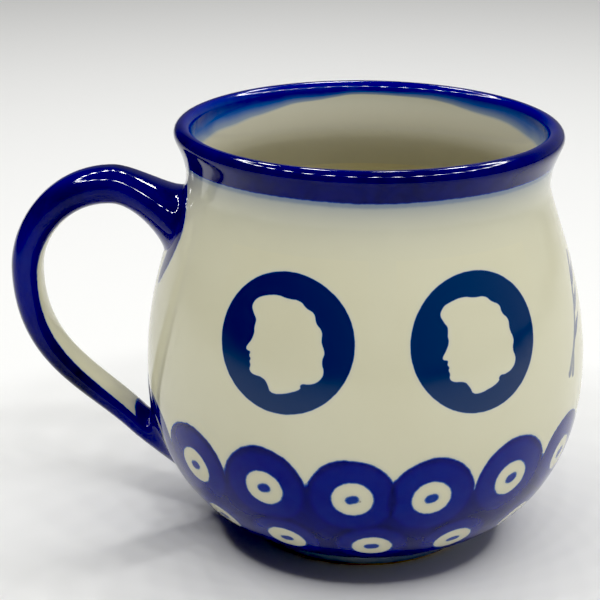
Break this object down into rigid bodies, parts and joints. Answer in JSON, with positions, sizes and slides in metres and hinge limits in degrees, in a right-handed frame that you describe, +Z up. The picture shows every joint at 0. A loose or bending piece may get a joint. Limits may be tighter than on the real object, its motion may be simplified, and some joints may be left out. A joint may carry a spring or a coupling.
{
  "type": "stoneware mug",
  "caption": "Bubble-shaped glazed stoneware mug with flared dark rim, ear-shaped strap handle, cameo medallions and a scalloped band of peacock eyes.",
  "frame": {"origin": "centre of the foot's standing face, on the mug's turning axis", "axes": "+Z up through the mouth, -X towards the handle, -Y towards the front with the facing pair of medallions"},
  "size_m": [0.1194, 0.0912, 0.088],
  "materials": {
    "stoneware": "fired, unglazed where it stands",
    "slip": "fired joining slip",
    "clear_glaze": "glossy clear glaze over cream body",
    "cobalt_glaze": "glossy, cobalt under clear glaze",
    "navy_glaze": "glossy, dark stamped colour under clear glaze",
    "wash_glaze": "glossy, thin blue-grey wash under clear glaze"
  },
  "bodies": {
    "root": {"stoneware_body": "stoneware", "handle_strap": "stoneware", "upper_slip_joint": "slip", "lower_slip_joint": "slip", "interior_glaze": "clear_glaze", "exterior_glaze": "clear_glaze", "cobalt_rim_band": "cobalt_glaze", "foot_wash": "wash_glaze", "cobalt_eye_band": "cobalt_glaze", "upper_eye_rings": "clear_glaze", "upper_eye_dots": "cobalt_glaze", "lower_eye_rings": "clear_glaze", "lower_eye_dots": "cobalt_glaze", "medallion_front_left": "navy_glaze", "medallion_front_right": "navy_glaze", "medallion_back_left": "navy_glaze", "medallion_back_right": "navy_glaze", "cameo_front_left": "clear_glaze", "cameo_front_right": "clear_glaze", "cameo_back_left": "clear_glaze", "cameo_back_right": "clear_glaze", "upper_root_brushwork": "cobalt_glaze", "lower_root_brushwork": "cobalt_glaze", "handle_cobalt": "cobalt_glaze", "handle_inner_glaze": "clear_glaze", "brushed_sprig": "wash_glaze"}
  },
  "joints": []
}
